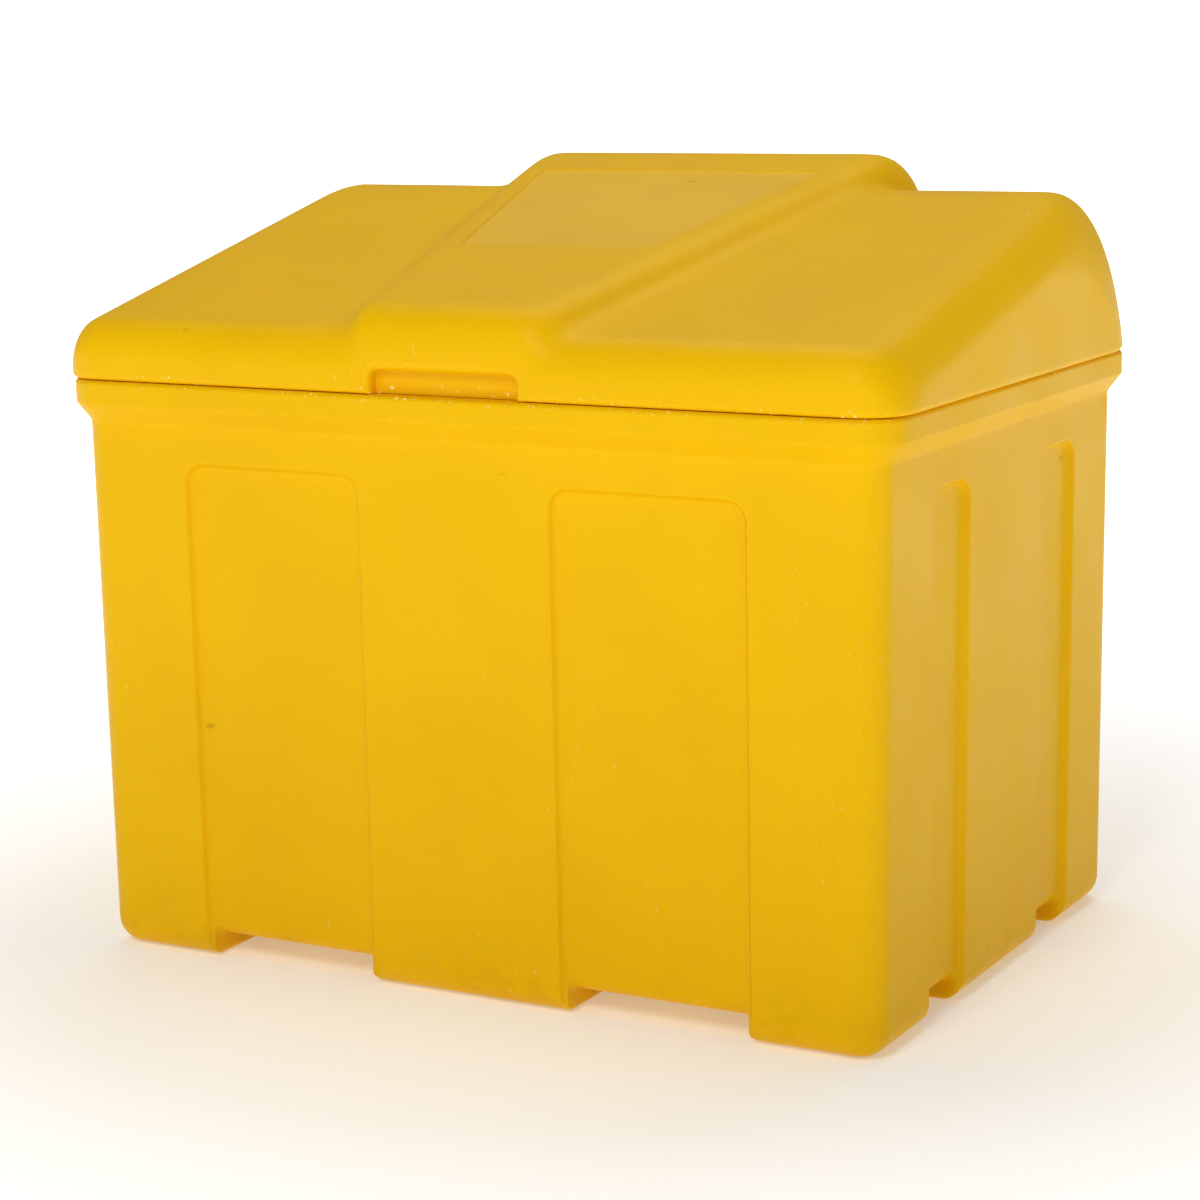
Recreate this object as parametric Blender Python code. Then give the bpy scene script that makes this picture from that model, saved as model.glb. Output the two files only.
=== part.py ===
"""Grit storage bin: a rotomoulded tub on moulded feet, closed by a sloping lid on two butt hinges.

Metres, +Z up. The front faces -Y. The origin is on the floor, under the middle of the tub.
"""

import math

import bmesh
import bpy
from mathutils import Matrix, Vector

# Tub: rim band, neck under it, drafted wall and rounded base.
RIM_HALF_X = 0.32935
RIM_HALF_Y = 0.23495
RIM_TOP = 0.430
RIM_CORNER_RADIUS = 0.035
RIM_OUTER_EDGE = 0.0035
RIM_INNER_EDGE = 0.002
RIM_BAND_BOTTOM = 0.4126
NECK_Z = 0.3992
NECK_INSET = 0.0104
WALL_DRAFT = 0.0065
BASE_RADIUS = 0.020
TUB_WALL = 0.0045
TUB_CORNER_STEPS = 4
BASE_STEPS = 3
RIM_STEPS = 2

# Tub: tall shallow recesses, two on every face, running down and out at the base.
RECESS_FRONT = (0.0747, 0.2264)
RECESS_SIDE = (0.0694, 0.1351)
RECESS_TOP = 0.374
RECESS_DEPTH = 0.005
RECESS_LIP_RADIUS = 0.006
RECESS_ROOT_RADIUS = 0.008
RECESS_FLANK_DEG = 45.0
RECESS_CORNER_RADIUS = 0.017
RECESS_STEPS = 2

# Tub: channels under the base between the feet, joining opposite recesses.
CHANNEL_HEIGHT = 0.018
CHANNEL_LIP_RADIUS = 0.006
CHANNEL_ROOT_RADIUS = 0.0048
CHANNEL_END_RADIUS = 0.012
CHANNEL_STEPS = 2

# Lid: shell, its rounded ends and foot, and the flange that lies on the tub's rim.
LID_HALF_X = 0.3333
LID_HALF_Y = 0.234
LID_GAP = 0.0003
LID_WALL = 0.0045
LID_EDGE_RADIUS = 0.004
LID_END_RADIUS = 0.0365
LID_FLANGE = 0.012
LID_FLANGE_TOP = 0.4355
LID_FLANGE_RUNOUT = 0.4385
LID_STEPS = 4
SMALLEST_ROUND = 0.0012

# Lid: low wings left and right, falling to the front, with a big round at the back.
WING = {
    "half_y": LID_HALF_Y,
    "front_z": 0.46967,
    "slope": 13.29,
    "front_radius": 0.0256,
    "back_radius": 0.094,
}

# Lid: raised middle that widens towards the back.
CREST = {
    "half_y": 0.2337,
    "front_z": 0.4879,
    "slope": 12.37,
    "front_radius": 0.0227,
    "back_radius": 0.0505,
}
CREST_FRONT_HALF_X = 0.0819
CREST_FLARE = 0.199
CREST_EDGE_RADIUS = 0.0257
CREST_BOTTOM = 0.436
CREST_HOLLOW_BOTTOM = 0.452

# Lid: plain sunk panel on the raised middle. Steps are (depth, growth of the outline).
PANEL_FRONT_Y = -0.079
PANEL_BACK_Y = 0.125
PANEL_FRONT_HALF_X = 0.077
PANEL_BACK_HALF_X = 0.122
PANEL_CORNER_RADIUS = 0.008
PANEL_STEPS = (
    (-0.010, 0.001),
    (0.0, 0.001),
    (0.0003, 0.0003),
    (0.0015, 0.0),
    (0.002, -0.0005),
)

# Lid: finger pull in the front skirt.
PULL_HALF_X = 0.058
PULL_TOP = 0.447
PULL_DEPTH = 0.011
PULL_LIP_RADIUS = 0.006
PULL_ROOT_RADIUS = 0.002
PULL_CORNER_RADIUS = 0.006
PULL_STEPS = 2

# Hinges: pads moulded on tub and lid, and one stainless butt hinge on each pair.
HINGE_X = 0.170
PAD_HALF_X = 0.034
PAD_Y = 0.236
PAD_ROOT = 0.016
PAD_ROOT_GROWTH = 0.012
PAD_EDGE = 0.0008
PAD_CORNER = 0.004
TUB_PAD_Z = (0.392, 0.4255)
LID_PAD_Z = (0.437, 0.471)
LEAF_THICKNESS = 0.002
LEAF_LENGTH = 0.034
LEAF_HALF_X = 0.030
FIT_GAP = 0.0003
PIN_RADIUS = 0.0025
PEEN_RADIUS = 0.0036
PEEN_HEIGHT = 0.0014
PEEN_BAND = 0.0008
PEEN_CROWN_RADIUS = 0.0025
KNUCKLE_INNER = PIN_RADIUS + FIT_GAP
KNUCKLE_OUTER = KNUCKLE_INNER + LEAF_THICKNESS
KNUCKLE_HALF_X = 0.010
KNUCKLE_CLEARANCE = 0.0006
CURL_DEG = 300.0
CURL_STEPS = 10
AXIS_Y = PAD_Y + FIT_GAP + KNUCKLE_OUTER
AXIS_Z = 0.432
HINGE_AXIS = (0.0, AXIS_Y, AXIS_Z)

# Fasteners: button-head bolts, wide washers and locknuts.
BOLT_X = 0.015
BOLT_FROM_AXIS = 0.022
TUB_BOLT_Z = AXIS_Z - BOLT_FROM_AXIS
LID_BOLT_Z = AXIS_Z + BOLT_FROM_AXIS
BOLT_RADIUS = 0.003
BOLT_CHAMFER = 0.0008
HOLE_RADIUS = 0.0033
HEAD_RADIUS = 0.00525
HEAD_HEIGHT = 0.0033
HEAD_BAND = 0.0008
HEAD_SHOULDER = (0.0041, 0.0025)
HEAD_CROWN_RADIUS = 0.0027
SOCKET_HALF_WIDTH = 0.002
SOCKET_DEPTH = 0.0018
WASHER_RADIUS = 0.009
WASHER_THICKNESS = 0.0016
NUT_HALF_WIDTH = 0.005
NUT_FACE_RADIUS = 0.0048
NUT_HEX_HEIGHT = 0.0048
NUT_COLLAR_RADIUS = 0.0045
NUT_CHAMFER = 0.0006
NUT_HEIGHT = 0.006
TUB_BOLT_LENGTH = 0.030
LID_BOLT_LENGTH = 0.020
ROUND_STEPS = 12

# Cutters run this far past what they cut.
OVERRUN = 0.030

# Points nearer than this are one place.
SAME_PLACE = 0.000001

# Linear colours and roughness of the finishes.
YELLOW = (0.78, 0.50, 0.005)
STEEL_GREY = (0.56, 0.57, 0.58)
PLASTIC_ROUGHNESS = 0.48
LEAF_ROUGHNESS = 0.38
PIN_ROUGHNESS = 0.3
BOLT_ROUGHNESS = 0.28
WASHER_ROUGHNESS = 0.4
NUT_ROUGHNESS = 0.34
SMOOTH_BELOW_DEG = 35.0

# ---------------------------------------------------------------- scene and materials


def clear_scene():
    for obj in list(bpy.data.objects):
        bpy.data.objects.remove(obj, do_unlink=True)


def make_material(name, colour, roughness, metallic):
    material = bpy.data.materials.new(name)
    material.use_nodes = True
    shader = material.node_tree.nodes["Principled BSDF"]
    shader.inputs["Base Color"].default_value = (*colour, 1.0)
    shader.inputs["Roughness"].default_value = roughness
    shader.inputs["Metallic"].default_value = metallic
    return material


def polyethylene(name):
    return make_material(name, YELLOW, PLASTIC_ROUGHNESS, 0.0)


def stainless(name, roughness):
    return make_material(name, STEEL_GREY, roughness, 1.0)


# ---------------------------------------------------------------- meshes


def extrude(work, faces, places):
    """Extrudes joined faces and moves the new corners. places pairs each old place with its new one."""
    region = list(faces)
    for face in faces:
        region += [*face.edges, *face.verts]
    moves = [(Vector(old), new) for old, new in places]
    made = bmesh.ops.extrude_face_region(work, geom=list(dict.fromkeys(region)))["geom"]
    for corner in made:
        if isinstance(corner, bmesh.types.BMVert):
            corner.co = min(moves, key=lambda move: (move[0] - corner.co).length_squared)[1]
    return [face for face in made if isinstance(face, bmesh.types.BMFace)]


def extrude_through(work, rings):
    """One solid: the first ring filled, then extruded and reshaped to each of the others."""
    faces = [work.faces.new([work.verts.new(place) for place in rings[0]])]
    for here, there in zip(rings, rings[1:]):
        faces = extrude(work, faces, list(zip(here, there)))


def new_object(name, *solids):
    """One object of solids that don't touch. Each is a list of rings, or fills a bmesh itself."""
    work = bmesh.new()
    for solid in solids:
        if callable(solid):
            solid(work)
        else:
            extrude_through(work, solid)
    bmesh.ops.recalc_face_normals(work, faces=work.faces)
    mesh = bpy.data.meshes.new(name)
    work.to_mesh(mesh)
    work.free()
    obj = bpy.data.objects.new(name, mesh)
    bpy.context.scene.collection.objects.link(obj)
    return obj


def place(obj, where, owner=None):
    """Puts the object at a world place, under an owner that isn't turned."""
    obj.parent = owner
    base = owner.location if owner else (0.0, 0.0, 0.0)
    obj.location = [where[i] - base[i] for i in range(3)]


def finish(obj, material):
    obj.data.materials.append(material)
    obj.data.shade_smooth()
    obj.data.set_sharp_from_angle(angle=math.radians(SMOOTH_BELOW_DEG))
    return obj


def boolean(obj, cutter, operation):
    """The cutter is modelled in the object's own axes, and follows it."""
    cutter.parent = obj
    cutter.hide_render = True
    cutter.display_type = "WIRE"
    modifier = obj.modifiers.new(cutter.name, "BOOLEAN")
    modifier.operation = operation
    modifier.solver = "EXACT"
    modifier.object = cutter


def arc(start_deg, end_deg, steps):
    """Angles in radians, both ends included."""
    start = math.radians(start_deg)
    end = math.radians(end_deg)
    return [start + (end - start) * i / steps for i in range(steps + 1)]


def plan_ring(half_x, half_y, radius, z):
    """A rounded rectangle at one height, anticlockwise from its right side."""
    ring = []
    for quarter, (sx, sy) in enumerate(((1, 1), (-1, 1), (-1, -1), (1, -1))):
        for a in arc(90 * quarter, 90 * quarter + 90, TUB_CORNER_STEPS):
            x = sx * (half_x - radius) + radius * math.cos(a)
            y = sy * (half_y - radius) + radius * math.sin(a)
            ring.append((x, y, z))
    return ring


def rounded_outline(corners, radius, steps):
    """A convex outline of (u, v) corners, anticlockwise, each rounded by the radius."""
    outline = []
    for i, corner in enumerate(corners):
        before = corners[i - 1]
        after = corners[(i + 1) % len(corners)]
        into = math.atan2(corner[1] - before[1], corner[0] - before[0])
        out = math.atan2(after[1] - corner[1], after[0] - corner[0])
        turn = (out - into) % (2 * math.pi)
        back = radius * math.tan(turn / 2)
        centre_u = corner[0] - back * math.cos(into) - radius * math.sin(into)
        centre_v = corner[1] - back * math.sin(into) + radius * math.cos(into)
        for step in range(steps + 1):
            a = into - math.pi / 2 + turn * step / steps
            outline.append((centre_u + radius * math.cos(a), centre_v + radius * math.sin(a)))
    return outline


def arched_outline(low, high, foot, top, radius, steps):
    """(u, v) of an upright outline with square feet and two rounded top corners."""
    outline = [(low, foot), (high, foot)]
    for centre_u, quarter in ((high - radius, 0), (low + radius, 90)):
        for a in arc(quarter, quarter + 90, steps):
            outline.append((centre_u + radius * math.cos(a), top - radius + radius * math.sin(a)))
    return outline


def step_profile(lip, root, flank_deg, height, steps, wall):
    """(inset, depth) of a step from a face down to a floor, moved by the wall thickness."""
    flank = math.radians(flank_deg)
    rounds_deep = (1 - math.cos(flank)) * (lip + root)
    straight = (height - rounds_deep) / math.sin(flank)
    across = (lip + root) * math.sin(flank) + straight * math.cos(flank)
    run = []
    for a in arc(0, flank_deg, steps):
        run.append((lip * math.sin(a), lip * (1 - math.cos(a)), a))
    for a in arc(flank_deg, 0, steps):
        run.append((across - root * math.sin(a), height - root * (1 - math.cos(a)), a))
    return [(inset - wall * math.sin(a), depth + wall * math.cos(a)) for inset, depth, a in run]


def mirrored_span(span, side):
    return span if side > 0 else (-span[1], -span[0])


# ---------------------------------------------------------------- tub


def wall_inset(z):
    """How far the outer wall stands in from the rim band at this height."""
    return NECK_INSET + (NECK_Z - z) * WALL_DRAFT


def tub_ring(z, inset):
    return plan_ring(RIM_HALF_X - inset, RIM_HALF_Y - inset, RIM_CORNER_RADIUS - inset, z)


def base_rings(wall):
    """The rounded foot of the outer skin, or of the hollow when a wall is given."""
    radius = BASE_RADIUS - wall
    inset = wall_inset(BASE_RADIUS) + wall
    rings = []
    for a in arc(90, 0, BASE_STEPS):
        z = BASE_RADIUS - radius * math.sin(a)
        rings.append(tub_ring(z, inset + radius * (1 - math.cos(a))))
    return rings


def tub_skin():
    rings = base_rings(0.0)
    rings.append(tub_ring(NECK_Z, NECK_INSET))
    rings.append(tub_ring(RIM_BAND_BOTTOM, 0.0))
    for a in arc(0, 90, RIM_STEPS):
        z = RIM_TOP - RIM_OUTER_EDGE * (1 - math.sin(a))
        rings.append(tub_ring(z, RIM_OUTER_EDGE * (1 - math.cos(a))))
    return rings


def hollow_skin():
    rings = base_rings(TUB_WALL)
    for a in arc(0, 90, RIM_STEPS):
        z = RIM_TOP - RIM_INNER_EDGE * (1 - math.sin(a))
        rings.append(tub_ring(z, wall_inset(z) + TUB_WALL - RIM_INNER_EDGE * (1 - math.cos(a))))
    rings.append([(x, y, RIM_TOP + OVERRUN) for x, y, z in rings[-1]])
    return rings


def recess(span, face_half, along_x, sign, wall):
    """Cutter of one recess in a front, back or side face, its floor as steep as the face."""
    profile = step_profile(
        RECESS_LIP_RADIUS, RECESS_ROOT_RADIUS, RECESS_FLANK_DEG, RECESS_DEPTH, RECESS_STEPS, wall
    )
    rings = []
    for inset, depth in [(profile[0][0], -OVERRUN)] + profile:
        outline = arched_outline(
            span[0] + inset, span[1] - inset, -OVERRUN, RECESS_TOP - inset,
            RECESS_CORNER_RADIUS - inset, RECESS_STEPS,
        )
        ring = []
        for u, z in outline:
            out = sign * (face_half - wall_inset(z) - depth)
            ring.append((u, out, z) if along_x else (out, u, z))
        rings.append(ring)
    return rings


def recesses(wall):
    cutters = []
    for sign in (-1, 1):
        for side in (-1, 1):
            cutters.append(recess(mirrored_span(RECESS_FRONT, side), RIM_HALF_Y, True, sign, wall))
            cutters.append(recess(mirrored_span(RECESS_SIDE, side), RIM_HALF_X, False, sign, wall))
    return cutters


def channel(span, face_half, along_x, wall):
    """Cutter of one channel across the base, its ceiling turned up into the recess at each end."""
    profile = step_profile(
        CHANNEL_LIP_RADIUS, CHANNEL_ROOT_RADIUS, 90.0, CHANNEL_HEIGHT, CHANNEL_STEPS, wall
    )
    arch = [(span[0] + inset, z) for inset, z in profile]
    arch += [(span[1] - inset, z) for inset, z in reversed(profile)]
    ceiling = range(len(profile) // 2, len(arch) - len(profile) // 2)
    radius = CHANNEL_END_RADIUS - wall
    flat = face_half - wall_inset(CHANNEL_HEIGHT) - RECESS_DEPTH - CHANNEL_END_RADIUS
    stations = []
    for a in arc(0, 90, BASE_STEPS):
        stations.append((flat + radius * math.sin(a), radius * (1 - math.cos(a))))
    stations.append((face_half + OVERRUN, radius))
    rings = []
    for s, lift in [(-s, lift) for s, lift in reversed(stations)] + stations:
        outline = [(u, z + (lift if i in ceiling else 0.0)) for i, (u, z) in enumerate(arch)]
        outline = [(span[0], -OVERRUN)] + outline + [(span[1], -OVERRUN)]
        rings.append([(s, u, z) if along_x else (u, s, z) for u, z in outline])
    return rings


def channels(along_x, wall):
    span = RECESS_SIDE if along_x else RECESS_FRONT
    face_half = RIM_HALF_X if along_x else RIM_HALF_Y
    return [channel(mirrored_span(span, side), face_half, along_x, wall) for side in (-1, 1)]


def cut_relief(obj, label, wall):
    """Takes recesses and channels out of the skin, or out of the hollow when a wall is given."""
    boolean(obj, new_object(f"cut_recesses_{label}", *recesses(wall)), "DIFFERENCE")
    boolean(obj, new_object(f"cut_channels_x_{label}", *channels(True, wall)), "DIFFERENCE")
    boolean(obj, new_object(f"cut_channels_y_{label}", *channels(False, wall)), "DIFFERENCE")


def pad(side, bottom, top, run_down):
    """A flat hinge pad with sloping edges. Its foot runs down the wall behind it."""
    rings = []
    for y, grow, foot in (
        (PAD_Y - PAD_ROOT, PAD_ROOT_GROWTH, bottom - run_down),
        (PAD_Y - PAD_EDGE, PAD_EDGE, bottom - PAD_EDGE),
        (PAD_Y, 0.0, bottom),
    ):
        half = PAD_HALF_X + grow
        head = top + min(grow, PAD_EDGE)
        x = side * HINGE_X
        corners = [(x - half, foot), (x + half, foot), (x + half, head), (x - half, head)]
        rings.append([(u, y, z) for u, z in rounded_outline(corners, PAD_CORNER + grow, 2)])
    return rings


def bolt_places(z):
    return [(side * HINGE_X + dx, z) for side in (-1, 1) for dx in (-BOLT_X, BOLT_X)]


def circle(radius, z, centre=(0.0, 0.0)):
    angles = [2 * math.pi * i / ROUND_STEPS for i in range(ROUND_STEPS)]
    return [(centre[0] + radius * math.cos(a), centre[1] + radius * math.sin(a), z) for a in angles]


def hexagon(half_width, z):
    """A hexagon with as many points as a circle, so that one can be extruded into the other."""
    ring = []
    for i in range(ROUND_STEPS):
        a = 2 * math.pi * i / ROUND_STEPS
        from_flat = (a + math.pi / 6) % (math.pi / 3) - math.pi / 6
        radius = half_width / math.cos(from_flat)
        ring.append((radius * math.cos(a), radius * math.sin(a), z))
    return ring


def drill(centre, near, far):
    """Cutter of a bolt hole along Y through a point (x, z)."""
    rings = []
    for y in (near, far):
        rings.append([(u, y, v) for u, v, unused in circle(HOLE_RADIUS, 0.0, centre)])
    return rings


def build_tub():
    tub = new_object("tub", tub_skin())
    tub_pads = [pad(side, *TUB_PAD_Z, PAD_ROOT) for side in (-1, 1)]
    boolean(tub, new_object("add_tub_pads", *tub_pads), "UNION")
    cut_relief(tub, "outside", 0.0)
    hollow = new_object("cut_tub_hollow", hollow_skin())
    cut_relief(hollow, "inside", TUB_WALL)
    boolean(tub, hollow, "DIFFERENCE")
    drills = [drill(spot, PAD_Y - OVERRUN, PAD_Y + OVERRUN) for spot in bolt_places(TUB_BOLT_Z)]
    boolean(tub, new_object("cut_tub_bolt_holes", *drills), "DIFFERENCE")
    return finish(tub, polyethylene("tub_polyethylene"))


# ---------------------------------------------------------------- lid


def lid_section(shape, inset, bottom):
    """(y, z) from the front foot over the slope to the back foot, moved in by the inset."""
    slope = math.radians(shape["slope"])
    front = -shape["half_y"] + inset
    back = shape["half_y"] - inset
    # Where the inset is more than the front round, the round stays a small one.
    front_radius = max(shape["front_radius"] - inset, SMALLEST_ROUND)
    back_radius = shape["back_radius"] - inset

    def under_slope(y, distance):
        rise = (y + shape["half_y"]) * math.tan(slope)
        return shape["front_z"] + rise - (inset + distance) / math.cos(slope)

    points = [(front, bottom)]
    for y, radius, angles in (
        (front + front_radius, front_radius, arc(180, 90 + shape["slope"], LID_STEPS)),
        (back - back_radius, back_radius, arc(90 + shape["slope"], 0, 2 * LID_STEPS)),
    ):
        z = under_slope(y, radius)
        points += [(y + radius * math.cos(a), z + radius * math.sin(a)) for a in angles]
    points.append((back, bottom))
    return points


def end_sections(radius):
    """(side, out, shrink) of each section, from the left round end to the right one."""
    ends = [(radius * math.sin(a), radius * (1 - math.cos(a))) for a in arc(0, 90, LID_STEPS)]
    left = [(-1, out, shrink) for out, shrink in reversed(ends)]
    return left + [(1, out, shrink) for out, shrink in ends]


def foot_outline(inset, z):
    """The wings' outline in plan, in by the inset: its front half, then its back half."""
    reach = LID_HALF_X - LID_END_RADIUS
    sections = end_sections(LID_END_RADIUS - inset)
    half_y = LID_HALF_Y - inset
    front = [(side * (reach + out), -half_y + shrink, z) for side, out, shrink in sections]
    back = [(side * (reach + out), half_y - shrink, z) for side, out, shrink in sections]
    return front + back


def wings(work, inset, levels):
    """The wings' solid. levels are (z, inset) of its foot, from the walls' lower ends down."""
    reach = LID_HALF_X - LID_END_RADIUS
    foot = levels[0][0]
    rings = []
    for side, out, shrink in end_sections(LID_END_RADIUS - inset):
        section = lid_section(WING, inset + shrink, foot)
        rings.append([(side * (reach + out), y, z) for y, z in section])
    extrude_through(work, rings)
    under = [face for face in work.faces if all(abs(v.co.z - foot) < SAME_PLACE for v in face.verts)]
    for (z, level), (next_z, next_level) in zip(levels, levels[1:]):
        moves = list(zip(foot_outline(level, z), foot_outline(next_level, next_z)))
        under = extrude(work, under, moves)


def crest(inset, bottom):
    """The raised middle's solid, whose sides open out towards the back."""
    rings = []
    for side, out, shrink in end_sections(CREST_EDGE_RADIUS - inset):
        ring = []
        for y, z in lid_section(CREST, inset + shrink, bottom):
            half = CREST_FRONT_HALF_X + CREST_FLARE * (y + CREST["half_y"])
            ring.append((side * (half - CREST_EDGE_RADIUS + out), y, z))
        rings.append(ring)
    return rings


def panel():
    """Cutter of the sunk panel, square to the raised middle's slope."""
    slope = math.radians(CREST["slope"])
    lean = (PANEL_BACK_HALF_X - PANEL_FRONT_HALF_X) / (PANEL_BACK_Y - PANEL_FRONT_Y)
    rings = []
    for depth, grow in PANEL_STEPS:
        front = PANEL_FRONT_HALF_X + grow * (1 - lean)
        back = PANEL_BACK_HALF_X + grow * (1 + lean)
        y0 = PANEL_FRONT_Y - grow
        y1 = PANEL_BACK_Y + grow
        corners = [(-front, y0), (front, y0), (back, y1), (-back, y1)]
        ring = []
        for x, y in rounded_outline(corners, PANEL_CORNER_RADIUS + grow, 3):
            rise = (y + CREST["half_y"]) * math.tan(slope)
            ring.append((x, y, CREST["front_z"] + rise - depth / math.cos(slope)))
        rings.append(ring)
    return rings


def finger_pull(wall):
    """Cutter of the finger pull, or of the room its own wall takes when a wall is given."""
    front = -LID_HALF_Y
    stations = [(front - OVERRUN, PULL_LIP_RADIUS)]
    for a in arc(0, 90, PULL_STEPS):
        y = front + PULL_LIP_RADIUS * (1 - math.cos(a)) + wall * math.cos(a)
        stations.append((y, PULL_LIP_RADIUS * (1 - math.sin(a)) + wall * math.sin(a)))
    for a in arc(0, 90, PULL_STEPS):
        y = front + PULL_DEPTH - PULL_ROOT_RADIUS * (1 - math.sin(a)) + wall * math.sin(a)
        stations.append((y, PULL_ROOT_RADIUS * (math.cos(a) - 1) + wall * math.cos(a)))
    rings = []
    for y, grow in stations:
        half = PULL_HALF_X + grow
        outline = arched_outline(
            -half, half, RIM_TOP - OVERRUN, PULL_TOP + grow, PULL_CORNER_RADIUS + grow, PULL_STEPS
        )
        rings.append([(x, y, z) for x, z in outline])
    return rings


def move_to_hinge(obj):
    """Gives the object its origin on the hinge axis without moving its shape."""
    obj.data.transform(Matrix.Translation([-value for value in HINGE_AXIS]))


def hinged_object(name, *solids):
    obj = new_object(name, *solids)
    move_to_hinge(obj)
    return obj


def build_lid():
    foot = RIM_TOP + LID_GAP
    levels = []
    for a in arc(0, 90, RIM_STEPS):
        z = foot + LID_EDGE_RADIUS * (1 - math.sin(a))
        levels.append((z, LID_EDGE_RADIUS * (1 - math.cos(a))))
    hollow_levels = [
        (LID_FLANGE_RUNOUT, LID_WALL),
        (LID_FLANGE_TOP, LID_FLANGE),
        (RIM_TOP - OVERRUN, LID_FLANGE),
    ]
    lid = hinged_object("lid", lambda work: wings(work, 0.0, levels))
    place(lid, HINGE_AXIS)
    boolean(lid, hinged_object("add_crest", crest(0.0, CREST_BOTTOM)), "UNION")
    lid_pads = [pad(side, *LID_PAD_Z, PAD_EDGE) for side in (-1, 1)]
    boolean(lid, hinged_object("add_lid_pads", *lid_pads), "UNION")
    hollow = hinged_object("cut_lid_hollow", lambda work: wings(work, LID_WALL, hollow_levels))
    crest_hollow = crest(LID_WALL, CREST_HOLLOW_BOTTOM)
    boolean(hollow, hinged_object("add_crest_hollow", crest_hollow), "UNION")
    boolean(hollow, hinged_object("cut_pull_wall", finger_pull(LID_WALL)), "DIFFERENCE")
    boolean(lid, hollow, "DIFFERENCE")
    boolean(lid, hinged_object("cut_pull", finger_pull(0.0)), "DIFFERENCE")
    boolean(lid, hinged_object("cut_panel", panel()), "DIFFERENCE")
    drills = [drill(spot, PAD_Y - OVERRUN, PAD_Y + OVERRUN) for spot in bolt_places(LID_BOLT_Z)]
    boolean(lid, hinged_object("cut_lid_bolt_holes", *drills), "DIFFERENCE")
    return finish(lid, polyethylene("lid_polyethylene"))


# ---------------------------------------------------------------- hinges


def box(x0, x1, y0, y1, z0, z1):
    return [[(x0, y0, z), (x1, y0, z), (x1, y1, z), (x0, y1, z)] for z in (z0, z1)]


def leaf_outline(up):
    """(y, z) about the pin: a flat leaf whose end is rolled round the pin. up is 1 or -1."""
    outline = [(-KNUCKLE_OUTER, up * LEAF_LENGTH), (-KNUCKLE_INNER, up * LEAF_LENGTH)]
    angles = arc(180, 180 + CURL_DEG, CURL_STEPS)
    for radius, turn in ((KNUCKLE_INNER, angles), (KNUCKLE_OUTER, reversed(angles))):
        outline += [(radius * math.cos(a), up * radius * math.sin(a)) for a in turn]
    return outline


def leaf_cutters(up):
    """Room for the other leaf's knuckles, and two bolt holes."""
    room = KNUCKLE_OUTER + KNUCKLE_CLEARANCE
    outer = LEAF_HALF_X + KNUCKLE_CLEARANCE
    inner = KNUCKLE_HALF_X
    if up < 0:
        spans = [(-inner - FIT_GAP, inner + FIT_GAP)]
    else:
        spans = [(-outer, -inner), (inner, outer)]
    cutters = [box(x0, x1, -room, room, -room, room) for x0, x1 in spans]
    for x in (-BOLT_X, BOLT_X):
        spot = (x, up * BOLT_FROM_AXIS)
        cutters.append(drill(spot, -KNUCKLE_OUTER - LEAF_THICKNESS, 0.0))
    return cutters


def build_leaf(name, side, up, owner=None):
    outline = leaf_outline(up)
    rings = [[(x, y, z) for y, z in outline] for x in (-LEAF_HALF_X, LEAF_HALF_X)]
    leaf = new_object(name, rings)
    boolean(leaf, new_object(f"cut_{name}", *leaf_cutters(up)), "DIFFERENCE")
    place(leaf, (side * HINGE_X, AXIS_Y, AXIS_Z), owner)
    return finish(leaf, stainless(f"{name}_steel", LEAF_ROUGHNESS))


def build_pin(name, side):
    """A pin along X with both ends peened over into low heads."""
    end = LEAF_HALF_X + FIT_GAP
    half_profile = [
        (end, PIN_RADIUS),
        (end, PEEN_RADIUS),
        (end + PEEN_BAND, PEEN_RADIUS),
        (end + PEEN_HEIGHT, PEEN_CROWN_RADIUS),
    ]
    profile = [(-x, radius) for x, radius in reversed(half_profile)] + half_profile
    rings = [[(x, y, z) for y, z, unused in circle(radius, 0.0)] for x, radius in profile]
    pin = new_object(name, rings)
    place(pin, (side * HINGE_X, AXIS_Y, AXIS_Z))
    return finish(pin, stainless(f"{name}_steel", PIN_ROUGHNESS))


# ---------------------------------------------------------------- fasteners


def build_bolt(name, length):
    """A bolt along Z: the shank runs down from the underside of its head, at the origin."""
    return finish(
        new_object(name, [
            circle(BOLT_RADIUS - BOLT_CHAMFER, -length),
            circle(BOLT_RADIUS, BOLT_CHAMFER - length),
            circle(BOLT_RADIUS, 0.0),
            circle(HEAD_RADIUS, 0.0),
            circle(HEAD_RADIUS, HEAD_BAND),
            circle(*HEAD_SHOULDER),
            circle(HEAD_CROWN_RADIUS, HEAD_HEIGHT),
            hexagon(SOCKET_HALF_WIDTH, HEAD_HEIGHT),
            hexagon(SOCKET_HALF_WIDTH, HEAD_HEIGHT - SOCKET_DEPTH),
        ]),
        stainless(f"{name}_steel", BOLT_ROUGHNESS),
    )


def spun_washer(work):
    """A flat ring below the origin, spun from its rectangular section."""
    section = [
        (HOLE_RADIUS, 0.0), (WASHER_RADIUS, 0.0),
        (WASHER_RADIUS, -WASHER_THICKNESS), (HOLE_RADIUS, -WASHER_THICKNESS),
    ]
    corners = [work.verts.new((x, 0.0, z)) for x, z in section]
    edges = [work.edges.new((corners[i - 1], corners[i])) for i in range(len(corners))]
    bmesh.ops.spin(
        work, geom=corners + edges, cent=(0.0, 0.0, 0.0), axis=(0.0, 0.0, 1.0),
        angle=2 * math.pi, steps=ROUND_STEPS, use_merge=True,
    )


def build_washer(name):
    return finish(new_object(name, spun_washer), stainless(f"{name}_steel", WASHER_ROUGHNESS))


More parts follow.
